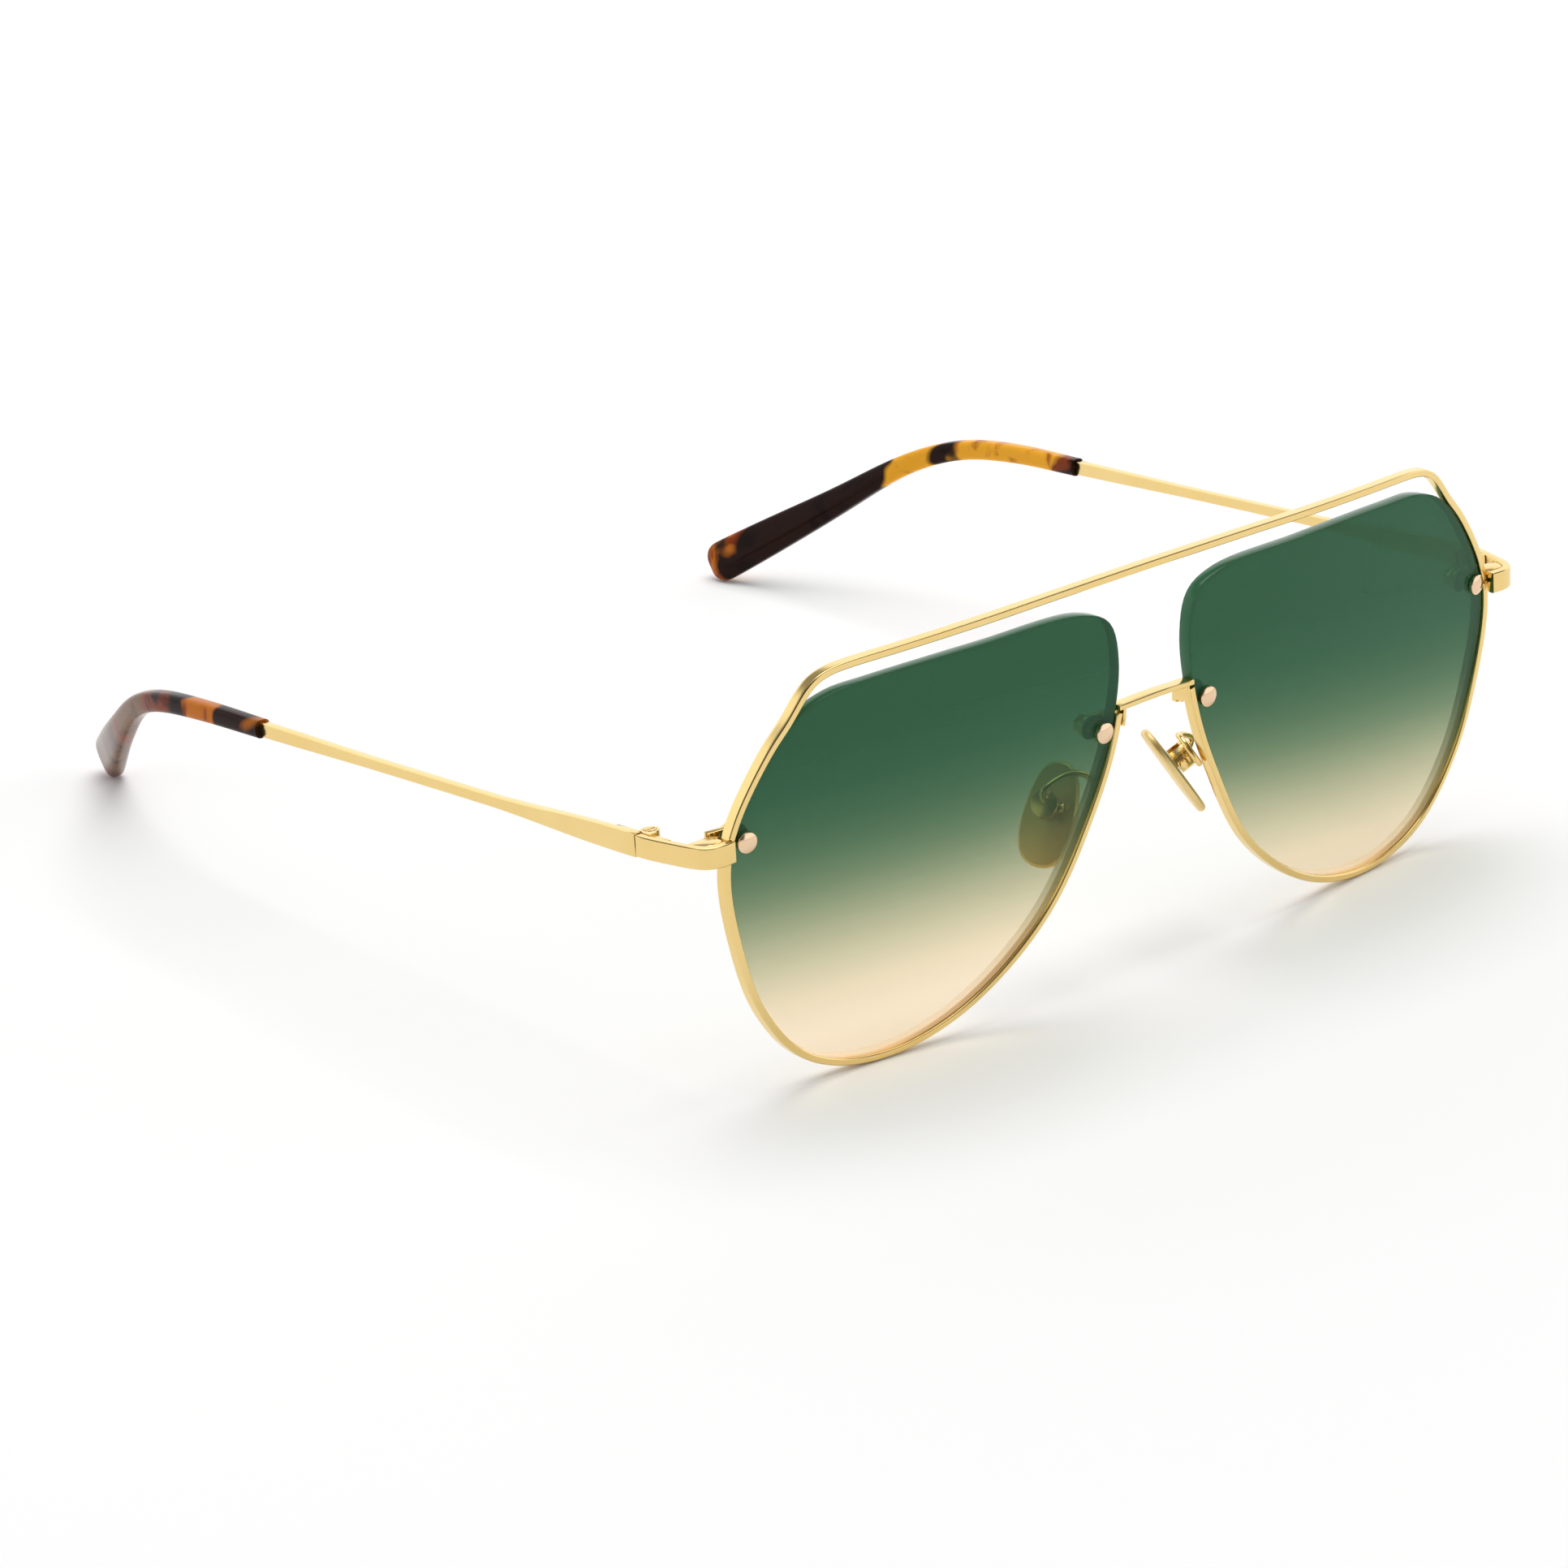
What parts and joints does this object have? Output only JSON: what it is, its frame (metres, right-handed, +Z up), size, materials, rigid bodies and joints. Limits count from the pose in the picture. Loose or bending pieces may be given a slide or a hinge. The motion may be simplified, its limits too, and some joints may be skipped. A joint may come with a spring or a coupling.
{
  "type": "aviator sunglasses",
  "caption": "Metal aviator sunglasses with a brow wire, open rims, screwed gradient lenses, folding temples with tortoiseshell tips and rocking metal nose pads.",
  "frame": {"origin": "under the middle of the open glasses' footprint, on the table they stand on", "axes": "+Z up, -Y the way the wearer looks, +X to the wearer's left; the temples run towards +Y"},
  "size_m": [0.1484, 0.1548, 0.0566],
  "materials": {
    "gold_metal": "pale gold plating, polished",
    "rose_gold_metal": "pale rose gold plating, polished flat",
    "pad_metal": "pale gold plating, satin",
    "tinted_lens": "clear nylon, tinted from dark green at the top to pale peach at the bottom",
    "tortoiseshell": "polished mottled brown and amber acetate",
    "clear_plastic": "clear bushing"
  },
  "bodies": {
    "front": {"brow_wire": "gold_metal", "bridge": "gold_metal", "rim_left": "gold_metal", "rim_right": "gold_metal", "end_piece_left": "gold_metal", "end_piece_right": "gold_metal", "rim_lock_left": "gold_metal", "rim_lock_right": "gold_metal", "rim_lock_screw_left": "gold_metal", "rim_lock_screw_right": "gold_metal", "lens_left": "tinted_lens", "lens_right": "tinted_lens", "lens_tab_temple_left": "gold_metal", "lens_tab_temple_right": "gold_metal", "lens_tab_nose_left": "gold_metal", "lens_tab_nose_right": "gold_metal", "lens_screw_temple_left": "rose_gold_metal", "lens_screw_temple_right": "rose_gold_metal", "lens_screw_nose_left": "rose_gold_metal", "lens_screw_nose_right": "rose_gold_metal", "lens_bushing_temple_left": "clear_plastic", "lens_bushing_temple_right": "clear_plastic", "lens_bushing_nose_left": "clear_plastic", "lens_bushing_nose_right": "clear_plastic", "lens_nut_temple_left": "gold_metal", "lens_nut_temple_right": "gold_metal", "lens_nut_nose_left": "gold_metal", "lens_nut_nose_right": "gold_metal", "hinge_front_leaf_left": "gold_metal", "hinge_front_leaf_right": "gold_metal", "hinge_screw_left": "gold_metal", "hinge_screw_right": "gold_metal", "pad_arm_left": "gold_metal", "pad_arm_right": "gold_metal", "pad_box_left": "gold_metal", "pad_box_right": "gold_metal", "pad_screw_left": "gold_metal", "pad_screw_right": "gold_metal"},
    "left_temple": {"hinge_temple_leaf_left": "gold_metal", "temple_left": "gold_metal", "temple_tip_left": "tortoiseshell"},
    "right_temple": {"hinge_temple_leaf_right": "gold_metal", "temple_right": "gold_metal", "temple_tip_right": "tortoiseshell"},
    "left_pad": {"nose_pad_left": "pad_metal"},
    "right_pad": {"nose_pad_right": "pad_metal"}
  },
  "joints": [
    {"name": "left_temple_fold", "type": "hinge", "parent": "front", "child": "left_temple", "pos_m": [0.071, -0.06182, 0.03474], "axis": [0, 0.0819, 0.9966], "range_deg": [0, 86]},
    {"name": "right_temple_fold", "type": "hinge", "parent": "front", "child": "right_temple", "pos_m": [-0.071, -0.06182, 0.03474], "axis": [0, -0.0819, -0.9966], "range_deg": [0, 77]},
    {"name": "left_pad_rock", "type": "hinge", "parent": "front", "child": "left_pad", "pos_m": [0.01165, -0.06898, 0.02443], "axis": [-0.4057, -0.9138, -0.0197], "range_deg": [-8, 8]},
    {"name": "right_pad_rock", "type": "hinge", "parent": "front", "child": "right_pad", "pos_m": [-0.01165, -0.06898, 0.02443], "axis": [0.4057, -0.9138, -0.0197], "range_deg": [-8, 8]}
  ]
}
